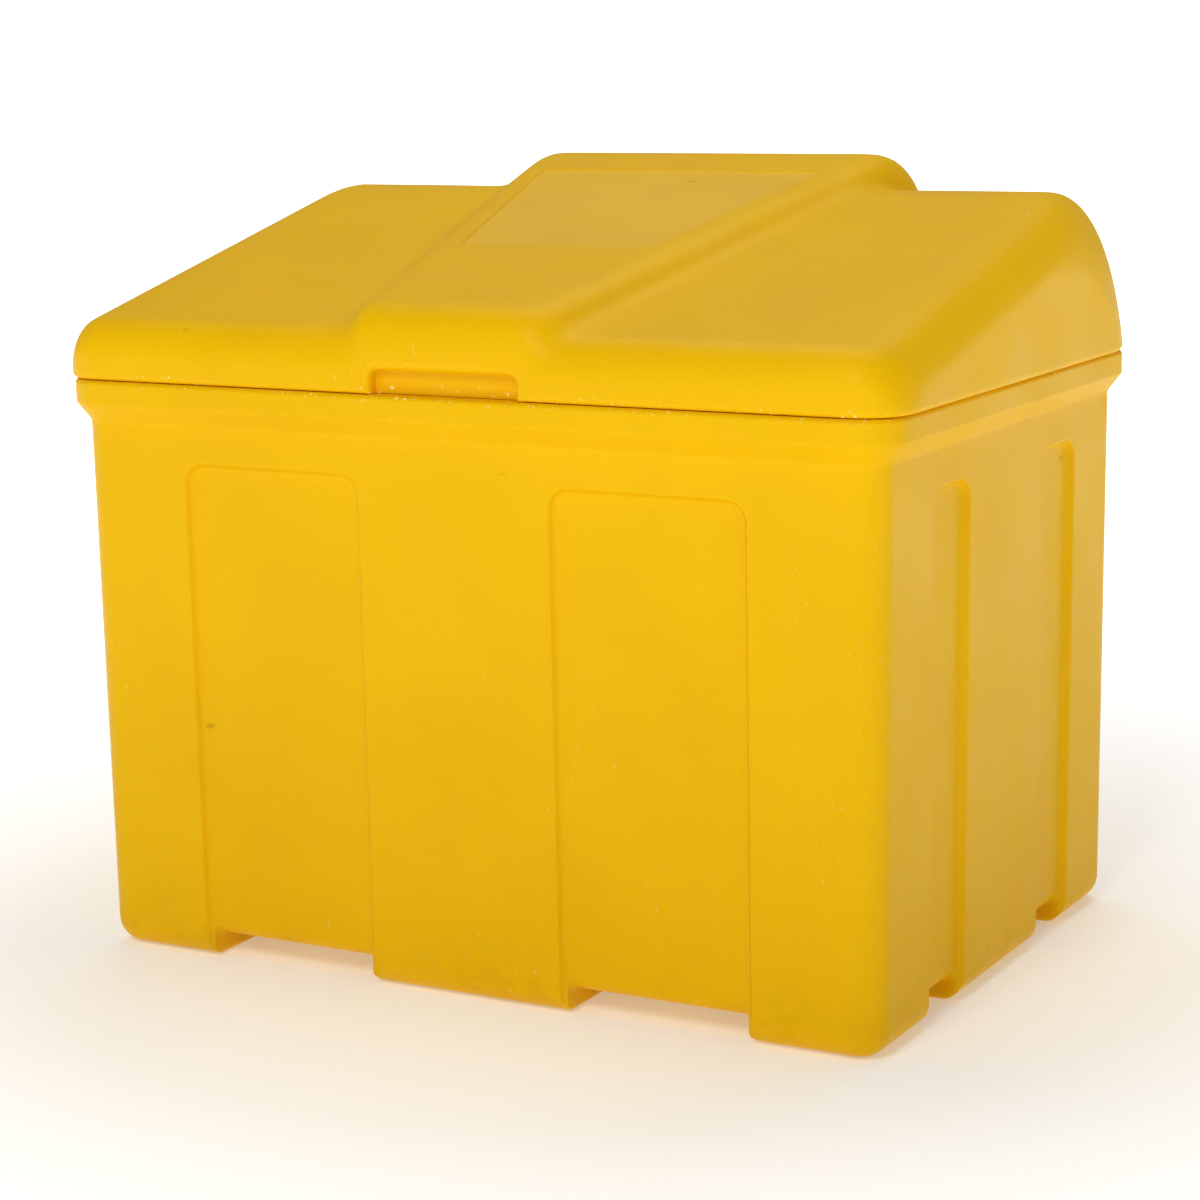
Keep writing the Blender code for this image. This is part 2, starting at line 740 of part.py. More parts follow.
def build_nut(name):
    """A locknut below the origin: a hexagon and a low round collar for the nylon insert."""
    nut = new_object(name, [
        circle(NUT_FACE_RADIUS, 0.0),
        hexagon(NUT_HALF_WIDTH, -NUT_CHAMFER),
        hexagon(NUT_HALF_WIDTH, -NUT_HEX_HEIGHT),
        circle(NUT_COLLAR_RADIUS, -NUT_HEX_HEIGHT),
        circle(NUT_COLLAR_RADIUS - NUT_CHAMFER, -NUT_HEIGHT),
    ])
    bore = new_object(f"cut_{name}", [circle(HOLE_RADIUS, z) for z in (-OVERRUN, OVERRUN)])
    boolean(nut, bore, "DIFFERENCE")
    return finish(nut, stainless(f"{name}_steel", NUT_ROUGHNESS))


def build_fasteners(label, z, length, wall_y, owner=None):
    """Bolts through the leaves from behind, with a washer and a nut on the wall inside."""
    head_y = PAD_Y + 2 * FIT_GAP + LEAF_THICKNESS
    washer_y = wall_y - FIT_GAP
    nut_y = washer_y - WASHER_THICKNESS - FIT_GAP
    for i, (x, z_bolt) in enumerate(bolt_places(z), start=1):
        pieces = (
            (build_bolt(f"{label}_bolt_{i}", length), head_y),
            (build_washer(f"{label}_washer_{i}"), washer_y),
            (build_nut(f"{label}_nut_{i}"), nut_y),
        )
        for piece, y in pieces:
            # Local +Z, the way out of the head, turns to point backwards.
            piece.rotation_euler = (-math.pi / 2, 0.0, 0.0)
            place(piece, (x, y, z_bolt), owner)


def main():
    clear_scene()
    build_tub()
    lid = build_lid()
    for label, side in (("left", -1), ("right", 1)):
        build_leaf(f"hinge_{label}_tub_leaf", side, -1)
        build_leaf(f"hinge_{label}_lid_leaf", side, 1, lid)
        build_pin(f"hinge_{label}_pin", side)
    tub_wall_y = RIM_HALF_Y - wall_inset(TUB_BOLT_Z - WASHER_RADIUS) - TUB_WALL
    build_fasteners("tub", TUB_BOLT_Z, TUB_BOLT_LENGTH, tub_wall_y)
    build_fasteners("lid", LID_BOLT_Z, LID_BOLT_LENGTH, LID_HALF_Y - LID_WALL, lid)


main()
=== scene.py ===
"""Grit storage bin: rotomoulded tub and lid, stainless butt hinges and their fasteners, in a plain studio."""

import math

import bmesh
import bpy
from bpy.props import FloatProperty, IntProperty, PointerProperty, StringProperty
from mathutils import Matrix, Vector


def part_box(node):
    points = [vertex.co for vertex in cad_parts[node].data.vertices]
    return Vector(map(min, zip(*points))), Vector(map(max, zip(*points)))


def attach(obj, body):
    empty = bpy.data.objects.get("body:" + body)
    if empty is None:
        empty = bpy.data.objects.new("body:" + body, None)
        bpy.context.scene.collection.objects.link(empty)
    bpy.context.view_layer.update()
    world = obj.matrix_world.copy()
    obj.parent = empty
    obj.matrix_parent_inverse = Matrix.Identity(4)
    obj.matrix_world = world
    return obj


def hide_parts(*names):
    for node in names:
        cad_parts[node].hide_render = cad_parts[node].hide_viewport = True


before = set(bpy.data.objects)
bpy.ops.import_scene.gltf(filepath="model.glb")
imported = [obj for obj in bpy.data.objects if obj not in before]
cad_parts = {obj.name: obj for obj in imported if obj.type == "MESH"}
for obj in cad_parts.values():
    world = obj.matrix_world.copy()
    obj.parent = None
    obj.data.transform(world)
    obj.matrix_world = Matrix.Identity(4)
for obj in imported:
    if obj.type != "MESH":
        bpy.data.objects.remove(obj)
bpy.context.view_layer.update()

bl_info = {
    "name": "Grit Storage Bin",
    "version": (1, 0, 0),
    "blender": (4, 5, 0),
    "location": "3D View > Sidebar > Grit Bin",
    "description": "Models the moulded tub and lid, the hinges, their fasteners and the studio",
    "category": "Object",
}

# ---------------------------------------------------------------- places taken from the frame

TUB_LOW, TUB_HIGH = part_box("tub")
LID_LOW, LID_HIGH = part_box("lid")
SIDES = (-1, 1)
LEAF_LOW, LEAF_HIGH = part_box("hinge_right_tub_leaf")
HINGE_X = (LEAF_LOW.x + LEAF_HIGH.x) / 2

MM = 0.001


# ---------------------------------------------------------------- sizes and colours


def length(name, description, default):
    return FloatProperty(name=name, description=description, default=default, unit="LENGTH", precision=4)


def angle(name, description, degrees):
    return FloatProperty(name=name, description=description, default=math.radians(degrees), unit="ROTATION")


def colour(name, description, default):
    return StringProperty(name=name, description=description, default=default)


class TubSizes(bpy.types.PropertyGroup):
    corner: length("Rim corner", "Radius of the rim's corners in plan", 35 * MM)
    band_bottom: length("Band bottom", "Height of the rim band's lower edge", 412.6 * MM)
    neck: length("Neck", "Height where the slope under the band meets the wall", 399.2 * MM)
    neck_inset: length("Neck inset", "How far the neck stands in from the band", 10.4 * MM)
    draft: FloatProperty(name="Draft", description="Inward lean of the walls, as a slope", default=0.0065)
    base_radius: length("Base radius", "Round between walls and base", 20 * MM)
    wall: length("Wall", "Thickness of the moulded wall", 4.5 * MM)
    recess_top: length("Recess top", "Height of the recesses' upper edge", 374 * MM)
    recess_depth: length("Recess depth", "Depth of the recesses", 5 * MM)
    channel: length("Channel height", "Height of the channels under the base", 18 * MM)


class LidSizes(bpy.types.PropertyGroup):
    end_radius: length("End radius", "Round at the lid's left and right ends", 36.5 * MM)
    wing_front: length("Wing front", "Height of the wings' slope above the front face", 469.67 * MM)
    wing_slope: angle("Wing slope", "Fall of the wings to the front", 13.29)
    wing_front_radius: length("Wing front radius", "Round along the front", 25.6 * MM)
    wing_back_radius: length("Wing back radius", "Round along the back", 94 * MM)
    crest_front: length("Crest front", "Height of the raised middle above the front face", 487.9 * MM)
    crest_slope: angle("Crest slope", "Fall of the raised middle to the front", 12.37)
    crest_half: length("Crest half width", "Half width of the raised middle at the front", 81.9 * MM)
    crest_flare: FloatProperty(
        name="Crest flare", description="Widening of each side, as a slope", default=0.199
    )
    crest_edge: length("Crest edge", "Round along the raised middle's sides", 24 * MM)
    crest_back_radius: length("Crest back radius", "Round at the back of the raised middle", 50.5 * MM)
    wall: length("Wall", "Thickness of the moulded wall", 4.5 * MM)
    voxel: length("Skin detail", "Grid size of the lid's blended skin", 3 * MM)
    blend: IntProperty(
        name="Blend", description="Passes that soften the valley beside the raised middle", default=26
    )


class Finishes(bpy.types.PropertyGroup):
    yellow: colour("Yellow", "Pigment of the moulding", "#F6C400")
    deep_yellow: colour("Deep yellow", "Pigment where more of it gathered", "#F2C000")
    # This pale colour is also mixed into the sunk panel's colour as a painted sheen.
    scuff_and_sheen: colour("Scuff", "Whitened plastic at burrs and scratches", "#FFF0B4")
    dirt: colour("Dirt", "Grey-brown dust rubbed into the skin", "#8C6E20")
    steel: colour("Steel", "Stainless steel", "#C9CBCD")
    dull_steel: colour("Dull steel", "Stainless steel between its marks", "#AEB1B3")
    stain: colour("Stain", "Tea staining on the steel", "#8A6A4A")
    nylon: colour("Nylon", "Insert of the locknuts", "#E2E6E8")
    old_nylon: colour("Old nylon", "Yellowed nylon", "#D2D2C4")
    floor: colour("Floor", "Studio floor", "#F6F6F5")


class GritBin(bpy.types.PropertyGroup):
    tub: PointerProperty(type=TubSizes)
    lid: PointerProperty(type=LidSizes)
    finishes: PointerProperty(type=Finishes)


def settings():
    return bpy.context.scene.grit_bin


# ---------------------------------------------------------------- modelling


def add_block(name, low, high):
    """A block between two corners, as a new object in edit mode with nothing selected."""
    low = Vector(low)
    high = Vector(high)
    bpy.ops.object.select_all(action="DESELECT")
    bpy.ops.mesh.primitive_cube_add(size=1.0, location=(low + high) / 2, scale=high - low)
    block = bpy.context.object
    block.name = name
    block.data.name = name
    bpy.ops.object.transform_apply(location=True, rotation=True, scale=True)
    bpy.ops.object.mode_set(mode="EDIT")
    bpy.ops.mesh.select_all(action="DESELECT")
    return block


def pick(kind, wanted):
    """Selects only the faces, edges or corners of the edited mesh that the test wants."""
    obj = bpy.context.object
    bpy.ops.mesh.select_mode(type=kind)
    bpy.ops.mesh.select_all(action="DESELECT")
    work = bmesh.from_edit_mesh(obj.data)
    work.normal_update()
    elements = {"FACE": work.faces, "EDGE": work.edges, "VERT": work.verts}[kind]
    for element in elements:
        if wanted(element):
            element.select_set(True)
    bmesh.update_edit_mesh(obj.data)


def facing(direction, least=0.99):
    """A test for faces whose normal points that way."""
    wanted = Vector(direction).normalized()
    return lambda face: face.normal.dot(wanted) > least


def along(direction, near=None, within=1e-4, least=0.99):
    """A test for edges that run that way and whose middle passes the near test."""
    wanted = Vector(direction).normalized()

    def test(edge):
        run = edge.verts[1].co - edge.verts[0].co
        middle = (edge.verts[0].co + edge.verts[1].co) / 2
        straight = run.length > within and abs(run.normalized().dot(wanted)) > least
        return straight and (near is None or near(middle))

    return test


def round_edges(radius, turn=math.pi / 2, segments=10):
    """Bevels the selected edges to a true round of that radius, where the two faces turn by that angle."""
    mid = 1 / (2 * (1 + math.cos(turn / 2)))
    bpy.ops.mesh.bevel(
        offset_type="OFFSET", offset=radius * math.tan(turn / 2), segments=segments,
        profile=(1 - mid) ** 2, affect="EDGES", clamp_overlap=False,
    )


def follow(profile):
    """Insets the selected face along a profile of (inset, depth) points, each ring extruded from the last."""
    for (inset, depth), (next_inset, next_depth) in zip(profile, profile[1:]):
        bpy.ops.mesh.inset(
            thickness=max(next_inset - inset, 0.0), depth=next_depth - depth, use_even_offset=True
        )


def arc(start_deg, end_deg, steps):
    start = math.radians(start_deg)
    end = math.radians(end_deg)
    return [start + (end - start) * i / steps for i in range(steps + 1)]


def bull_nose(radius, steps=8):
    """(inset, depth) over a quarter round that ends flat."""
    return [(radius * (1 - math.cos(a)), radius * math.sin(a)) for a in arc(0, 90, steps)]


def step(lip, root, flank_deg, height, wall=0.0, steps=6):
    """(inset, depth) from a face down a filleted flank to a floor, moved by the wall thickness."""
    flank = math.radians(flank_deg)
    straight = (height - (1 - math.cos(flank)) * (lip + root)) / math.sin(flank)
    across = (lip + root) * math.sin(flank) + straight * math.cos(flank)
    run = [(lip * math.sin(a), lip * (1 - math.cos(a)), a) for a in arc(0, flank_deg, steps)]
    run += [
        (across - root * math.sin(a), height - root * (1 - math.cos(a)), a)
        for a in arc(flank_deg, 0, steps)
    ]
    return [(inset - wall * math.sin(a), depth + wall * math.cos(a)) for inset, depth, a in run]


def leave_edit():
    bpy.ops.mesh.select_all(action="SELECT")
    bpy.ops.mesh.normals_make_consistent(inside=False)
    bpy.ops.object.mode_set(mode="OBJECT")
    return bpy.context.object


def make_active(obj):
    bpy.ops.object.select_all(action="DESELECT")
    obj.select_set(True)
    bpy.context.view_layer.objects.active = obj


def copy_of(obj, name):
    """A copy with its own mesh."""
    copy = obj.copy()
    copy.data = obj.data.copy()
    copy.name = name
    copy.data.name = name
    bpy.context.scene.collection.objects.link(copy)
    return copy


def apply_modifier(obj, modifier):
    make_active(obj)
    bpy.ops.object.modifier_apply(modifier=modifier.name)


def dress(obj, material):
    """Gives the object this one material."""
    obj.data.materials.clear()
    obj.data.materials.append(material)
    return obj


def combine(obj, others, operation):
    """Joins the other solids to the object or cuts them out of it, and takes them away."""
    for other in others:
        if obj.data.materials and not other.data.materials:
            dress(other, obj.data.materials[0])
        modifier = obj.modifiers.new("combine", "BOOLEAN")
        modifier.operation = operation
        modifier.solver = "EXACT"
        modifier.material_mode = "TRANSFER"
        modifier.object = other
        apply_modifier(obj, modifier)
        bpy.data.objects.remove(other)
    return obj


def shade(obj, degrees=38.0):
    """Smooth shading in which broad flat faces keep their own direction."""
    make_active(obj)
    bpy.ops.object.shade_smooth_by_angle(angle=math.radians(degrees))
    modifier = obj.modifiers.new("normals", "WEIGHTED_NORMAL")
    modifier.mode = "FACE_AREA"
    modifier.keep_sharp = True
    apply_modifier(obj, modifier)


# ---------------------------------------------------------------- tub


def wall_inset(z):
    """How far the tub's outer wall stands in from the rim band at this height."""
    tub = settings().tub
    return tub.neck_inset + (tub.neck - z) * tub.draft


def tub_plan(name, inset, bottom, top):
    """A block in the rim's plan, in by the inset, with rounded corners."""
    half_x = TUB_HIGH.x - inset
    half_y = -TUB_LOW.y - inset
    block = add_block(name, (-half_x, -half_y, bottom), (half_x, half_y, top))
    pick("EDGE", along((0, 0, 1)))
    round_edges(settings().tub.corner - inset, segments=14)
    return block


def tub_outside():
    """The rim band, the slope under it, the drafted wall and the rounded base."""
    tub = settings().tub
    rim_edge = 3.5 * MM
    lip = 3 * MM
    root = 7 * MM
    flank = math.atan(tub.neck_inset / (tub.band_bottom - tub.neck))
    start = tub.band_bottom + lip * math.tan(flank / 2)
    block = tub_plan("moulded_tub", 0.0, start, TUB_HIGH.z - rim_edge)
    pick("FACE", facing((0, 0, 1)))
    follow(bull_nose(rim_edge, 5))
    pick("FACE", facing((0, 0, -1)))
    neck = [(depth, across) for across, depth in step(lip, root, math.degrees(flank), tub.neck_inset)]
    follow(neck)
    straight = start - neck[-1][1] - tub.base_radius
    follow([(0, 0), (straight * tub.draft, straight)])
    follow(bull_nose(tub.base_radius, 10))
    return leave_edit()


def tub_inside():
    """The hollow, whose mouth edge is rounded over."""
    tub = settings().tub
    mouth = 2 * MM
    room = 30 * MM
    inset = wall_inset(TUB_HIGH.z) + tub.wall
    tub_plan("tub_hollow", inset - mouth, TUB_HIGH.z, TUB_HIGH.z + room)
    pick("FACE", facing((0, 0, -1)))
    follow([(mouth * math.sin(a), mouth * (1 - math.cos(a))) for a in arc(0, 90, 5)])
    straight = TUB_HIGH.z - mouth - tub.base_radius
    follow([(0, 0), (straight * tub.draft, straight)])
    follow(bull_nose(tub.base_radius - tub.wall, 10))
    return leave_edit()


def recess_cutter(span, face_half, quarter, wall):
    """A tall shallow recess in a face, its floor as steep as the face. quarter turns it from the front."""
    tub = settings().tub
    room = 30 * MM
    corner = 17 * MM
    # The outer face has the crisper edges. The inner one needs a lip wider than the wall.
    if wall:
        profile = step(6 * MM, 8 * MM, 45.0, tub.recess_depth, wall)
    else:
        profile = step(2.5 * MM, 5 * MM, 58.0, tub.recess_depth)
    inset = profile[0][0]
    face_y = -(face_half - tub.neck_inset)
    start_y = face_y + profile[0][1]
    cutter = add_block(
        "recess", (span[0] + inset, face_y - room, -room), (span[1] - inset, start_y, tub.recess_top - inset)
    )
    pick("EDGE", along((0, 1, 0), near=lambda middle: middle.z > 0))
    round_edges(corner - inset, segments=8)
    pick("FACE", facing((0, 1, 0)))
    follow(profile)
    bpy.ops.mesh.select_all(action="SELECT")
    leave_edit()
    lean = Matrix.Rotation(math.atan(tub.draft), 4, "X")
    pivot = Matrix.Translation((0.0, face_y, tub.neck))
    cutter.data.transform(pivot @ lean @ pivot.inverted())
    cutter.data.transform(Matrix.Rotation(math.radians(90 * quarter), 4, "Z"))
    return cutter


def channel_cutter(span, face_half, quarter, wall):
    """A channel under the base, from face to face, that turns up into the recess at each end."""
    tub = settings().tub
    room = 30 * MM
    end_radius = 12 * MM
    profile = step(6 * MM, 4.8 * MM, 90.0, tub.channel, wall)
    flat = face_half - wall_inset(tub.channel) - tub.recess_depth - end_radius
    inset = profile[0][0]
    cutter = add_block(
        "channel", (span[0] + inset, -flat - room, -room), (span[1] - inset, flat + room, profile[0][1])
    )
    pick("FACE", facing((0, 0, 1)))
    follow(profile)
    for side in SIDES:
        bpy.ops.mesh.select_all(action="SELECT")
        bpy.ops.mesh.bisect(
            plane_co=(0, side * flat, 0), plane_no=(0, side, 0), use_fill=True, clear_outer=True
        )
        end_face = facing((0, side, 0))
        pick("FACE", lambda face: end_face(face) and abs(face.calc_center_median().y - side * flat) < MM)
        bpy.ops.mesh.spin(
            steps=8, angle=math.radians(-90) * side, center=(0, side * flat, tub.channel + end_radius),
            axis=(1, 0, 0),
        )
    leave_edit()
    cutter.data.transform(Matrix.Rotation(math.radians(90 * quarter), 4, "Z"))
    return cutter


def relief_cutters(wall):
    """Cutters of the recesses on all four faces and of the channels that join them."""
    front = (74.7 * MM, 226.4 * MM)
    side = (69.4 * MM, 135.1 * MM)
    half_x = TUB_HIGH.x
    half_y = -TUB_LOW.y
    cutters = []
    for span in (front, (-front[1], -front[0])):
        cutters += [recess_cutter(span, half_y, quarter, wall) for quarter in (0, 2)]
        cutters.append(channel_cutter(span, half_y, 0, wall))
    for span in (side, (-side[1], -side[0])):
        cutters += [recess_cutter(span, half_x, quarter, wall) for quarter in (1, 3)]
        cutters.append(channel_cutter(span, half_x, 1, wall))
    return cutters


def pad(side, bottom, top, root, growth):
    """A flat moulded pad for a hinge leaf, whose sides and foot slope back into the wall behind it."""
    half = 34 * MM
    face_y = TUB_HIGH.y
    x = side * HINGE_X
    add_block("pad", (x - half, face_y - root, bottom), (x + half, face_y, top))
    work = bmesh.from_edit_mesh(bpy.context.object.data)
    for corner in work.verts:
        if corner.co.y < face_y - root / 2:
            corner.co.x += math.copysign(growth, corner.co.x - x)
            corner.co.z -= growth if corner.co.z < (bottom + top) / 2 else 0.0
    bmesh.update_edit_mesh(bpy.context.object.data)
    pick("EDGE", lambda edge: abs(edge.verts[0].co.y - edge.verts[1].co.y) > root / 2)
    round_edges(4 * MM, segments=6)
    pick("EDGE", lambda edge: min(corner.co.y for corner in edge.verts) > face_y - 0.1 * MM)
    round_edges(0.8 * MM, segments=3)
    return leave_edit()


def build_tub_skin():
    """The outside with its pads, less the recesses and channels, less the hollow."""
    pad_bottom = 392 * MM
    pad_top = 425.5 * MM
    pad_root = 16 * MM
    pad_growth = 12 * MM
    tub = dress(tub_outside(), moulded_skin())
    combine(tub, [pad(side, pad_bottom, pad_top, pad_root, pad_growth) for side in SIDES], "UNION")
    combine(tub, relief_cutters(0.0), "DIFFERENCE")
    hollow = dress(tub_inside(), inner_skin())
    combine(hollow, relief_cutters(settings().tub.wall), "DIFFERENCE")
    combine(tub, [hollow], "DIFFERENCE")
    return tub


class GRIT_OT_tub(bpy.types.Operator):
    """Models the moulded tub with its recesses and feet"""

    bl_idname = "grit_bin.tub"
    bl_label = "Tub"

    def execute(self, context):
        tub = build_tub_skin()
        shade(tub)
        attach(tub, "tub_body")
        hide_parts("tub")
        return {"FINISHED"}


# ---------------------------------------------------------------- lid


def sloped_block(name, half_x, flare, front_z, slope, inset, floor):
    """A block under a slope that falls to the front, its sides opening out to the back by the flare."""
    half_y = -LID_LOW.y - inset
    front = front_z + inset * math.tan(slope) - inset / math.cos(slope)
    back = front + 2 * half_y * math.tan(slope)
    block = add_block(name, (-1, -half_y, floor), (1, half_y, 1))
    work = bmesh.from_edit_mesh(block.data)
    for corner in work.verts:
        at_back = corner.co.y > 0
        corner.co.x *= half_x + (flare * 2 * half_y if at_back else 0.0)
        if corner.co.z > 0.9:
            corner.co.z = back if at_back else front
    bmesh.update_edit_mesh(block.data)
    return block


def round_ends(radius, steps=10):
    """Rounds both ends of the edited block by insets that follow a quarter circle."""
    for side in SIDES:
        pick("FACE", facing((side, 0, 0), least=0.97))
        follow(bull_nose(radius, steps))


def round_ridge(side, radius, turn, half_y, band):
    """Rounds the front or back top edge of the edited block, which runs round both ends."""

    def on_ridge(edge):
        if len(edge.link_faces) != 2:
            return False
        middle = (edge.verts[0].co + edge.verts[1].co) / 2
        steep, level = sorted((face.normal.z for face in edge.link_faces))
        return abs(steep) < 0.01 < level and side * middle.y > half_y - band - MM

    pick("EDGE", on_ridge)
    round_edges(radius, turn, segments=16)


def cut_foot(z):
    """Cuts the edited block off level at this height and selects the new underside."""
    bpy.ops.mesh.select_all(action="SELECT")
    bpy.ops.mesh.bisect(plane_co=(0, 0, z), plane_no=(0, 0, -1), use_fill=True, clear_outer=True)
    bpy.ops.mesh.select_all(action="SELECT")
    bpy.ops.mesh.remove_doubles(threshold=0.3 * MM)
    pick("FACE", facing((0, 0, -1)))


def rounded_slope(name, half_x, flare, front_z, slope, inset, end, radii, floor):
    block = sloped_block(name, half_x, flare, front_z, slope, inset, floor)
    round_ends(end)
    half_y = -LID_LOW.y - inset
    round_ridge(-1, radii[0] - inset, math.pi / 2 - slope, half_y, end)
    round_ridge(1, radii[1] - inset, math.pi / 2 + slope, half_y, end)
    return block


def wings(inset, floor):
    lid = settings().lid
    end = lid.end_radius - inset
    return rounded_slope(
        "wings", LID_HIGH.x - inset - end, 0.0, lid.wing_front, lid.wing_slope, inset, end,
        (lid.wing_front_radius, lid.wing_back_radius), floor,
    )


def crest(inset, floor):
    lid = settings().lid
    end = lid.crest_edge - inset
    return rounded_slope(
        "crest", lid.crest_half - lid.crest_edge, lid.crest_flare, lid.crest_front, lid.crest_slope,
        inset + 0.1 * MM, end, (lid.crest_edge + 2 * MM, lid.crest_back_radius), floor,
    )


def lid_outside():
    """Wings and raised middle as one skin, with a soft valley between them and a rounded lower edge."""
    lid = settings().lid
    deep = LID_LOW.z - 60 * MM
    edge = 4 * MM
    wings(0.0, deep)
    body = leave_edit()
    crest(0.0, deep)
    middle = leave_edit()
    combine(body, [middle], "UNION")
    body.name = "moulded_lid"
    remesh = body.modifiers.new("skin", "REMESH")
    remesh.mode = "VOXEL"
    remesh.voxel_size = lid.voxel
    apply_modifier(body, remesh)
    bpy.ops.object.mode_set(mode="EDIT")
    reach = lid.crest_half + 40 * MM

    def in_valley(corner):
        co = corner.co
        edge_x = reach + lid.crest_flare * (co.y - LID_LOW.y)
        return abs(co.x) < edge_x and co.z > 452 * MM and co.y < -LID_LOW.y - 6 * MM

    pick("VERT", in_valley)
    bpy.ops.mesh.vertices_smooth(factor=0.5, repeat=lid.blend)
    pick("VERT", lambda corner: corner.co.z > LID_LOW.z)
    bpy.ops.mesh.vertices_smooth(factor=0.5, repeat=3)
    cut_foot(LID_LOW.z + edge)
    follow(bull_nose(edge, 5))
    return leave_edit()


def lid_inside():
    """The hollow over the flange that lies on the tub's rim."""
    lid = settings().lid
    flange_top = 436 * MM
    flange = 12 * MM
    deep = flange_top - 80 * MM
    wings(lid.wall, deep)
    cut_foot(flange_top)
    hollow = leave_edit()
    crest(lid.wall, deep)
    cut_foot(452 * MM)
    middle = leave_edit()
    half_x = LID_HIGH.x - flange
    half_y = -LID_LOW.y - flange
    add_block("mouth", (-half_x, -half_y, LID_LOW.z - 30 * MM), (half_x, half_y, flange_top + MM))
    pick("EDGE", along((0, 0, 1)))
    round_edges(lid.end_radius - flange, segments=12)
    return combine(hollow, [middle, leave_edit()], "UNION")


def pull_cutter(wall):
    """The finger pull in the front skirt, or the room its own wall takes."""
    half = 64 * MM
    top = 453 * MM
    depth = 11 * MM
    room = 30 * MM
    profile = step(6 * MM, 2 * MM, 90.0, depth, wall)
    inset = profile[0][0]
    cutter = add_block(
        "pull",
        (-half + inset, LID_LOW.y - room, LID_LOW.z - room),
        (half - inset, LID_LOW.y + profile[0][1], top - inset),
    )
    pick("EDGE", along((0, 1, 0), near=lambda middle: middle.z > LID_LOW.z))
    round_edges(12 * MM - inset, segments=6)
    pick("FACE", facing((0, 1, 0)))
    follow(profile)
    return leave_edit()


def panel_cutter():
    """The plain sunk panel, square to the raised middle's slope."""
    lid = settings().lid
    front_y, back_y = -79 * MM, 125 * MM
    front_half, back_half = 77 * MM, 122 * MM
    height = 20 * MM
    cutter = add_block("panel", (-1, front_y, 0), (1, back_y, height))
    work = bmesh.from_edit_mesh(cutter.data)
    for corner in work.verts:
        corner.co.x *= back_half if corner.co.y > 0 else front_half
    bmesh.update_edit_mesh(cutter.data)
    pick("EDGE", along((0, 0, 1)))
    round_edges(9 * MM, segments=8)
    pick("FACE", facing((0, 0, -1)))
    follow([(0, 0), (0.3 * MM, 0.5 * MM), (1.2 * MM, 1.5 * MM), (1.8 * MM, 1.9 * MM), (2.6 * MM, 2.0 * MM)])
    leave_edit()
    slope = math.tan(lid.crest_slope)
    for corner in cutter.data.vertices:
        corner.co.z += lid.crest_front + (corner.co.y - LID_LOW.y) * slope
    return cutter


def build_lid_skin():
    """The outside with its pads, less the hollow, the finger pull and the sunk panel."""
    pad_bottom = 437 * MM
    pad_top = 471 * MM
    pad_root = 6 * MM
    pad_growth = 0.8 * MM
    lid = dress(lid_outside(), moulded_skin())
    combine(lid, [pad(side, pad_bottom, pad_top, pad_root, pad_growth) for side in SIDES], "UNION")
    hollow = dress(lid_inside(), inner_skin())
    combine(hollow, [pull_cutter(settings().lid.wall)], "DIFFERENCE")
    combine(lid, [hollow], "DIFFERENCE")
    combine(lid, [pull_cutter(0.0)], "DIFFERENCE")
    combine(lid, [dress(panel_cutter(), panel_skin())], "DIFFERENCE")
    return lid


class GRIT_OT_lid(bpy.types.Operator):
    """Models the moulded lid with its raised middle, sunk panel and finger pull"""

    bl_idname = "grit_bin.lid"
    bl_label = "Lid"

    def execute(self, context):
        lid = build_lid_skin()
        shade(lid)
        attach(lid, "lid_body")
        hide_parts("lid")
        return {"FINISHED"}


# ---------------------------------------------------------------- hinges and fasteners

HEAD_RADIUS = 5.25 * MM
HEAD_HEIGHT = 3.3 * MM
HOLE_RADIUS = 3.25 * MM
WASHER_RADIUS = 9 * MM
WASHER_THICKNESS = 1.6 * MM
NUT_HEX_HEIGHT = 4.8 * MM
NUT_HEIGHT = 6 * MM


def add_disc(name, radius, low, high, sides=48):
    """A cylinder along Y between two places on it, in edit mode, pointing to +Y."""
    bpy.ops.object.select_all(action="DESELECT")
    bpy.ops.mesh.primitive_cylinder_add(
        vertices=sides, radius=radius, depth=high - low,
        location=(0, (low + high) / 2, 0), rotation=(-math.pi / 2, 0, 0),
    )
    disc = bpy.context.object
    disc.name = name
    disc.data.name = name
    bpy.ops.object.transform_apply(location=True, rotation=True, scale=True)
    bpy.ops.object.mode_set(mode="EDIT")
    bpy.ops.mesh.select_all(action="DESELECT")
    return disc


def rim_at(y):
    """A test for edges on the end face at that place."""
    return lambda edge: all(abs(corner.co.y - y) < 0.05 * MM for corner in edge.verts)


def model_bolt(shank):
    """A button-head bolt whose head rests at y = 0, with a hexagon socket."""
    add_disc("bolt", HEAD_RADIUS, 0.0, HEAD_HEIGHT)
    pick("EDGE", rim_at(HEAD_HEIGHT))
    bpy.ops.mesh.bevel(offset=2.5 * MM, segments=10, profile=0.5, affect="EDGES")
    pick("EDGE", rim_at(0.0))
    round_edges(0.2 * MM, segments=3)
    bolt = leave_edit()
    add_disc("shank", 2.95 * MM, -shank, 0.5 * MM, 32)
    pick("EDGE", rim_at(-shank))
    bpy.ops.mesh.bevel(offset=0.6 * MM, segments=2, affect="EDGES")
    rod = leave_edit()
    add_disc("socket", 2.3 * MM, 1.5 * MM, 5 * MM, 6)
    socket = leave_edit()
    combine(bolt, [rod], "UNION")
    return combine(bolt, [socket], "DIFFERENCE")


def model_washer():
    """A plain washer with eased edges, its face at y = 0 and its thickness behind."""
    add_disc("washer", WASHER_RADIUS, -WASHER_THICKNESS, 0.0)
    pick("EDGE", lambda edge: rim_at(0.0)(edge) or rim_at(-WASHER_THICKNESS)(edge))
    round_edges(0.3 * MM, segments=3)
    washer = leave_edit()
    add_disc("bore", HOLE_RADIUS, -5 * MM, 5 * MM)
    return combine(washer, [leave_edit()], "DIFFERENCE")


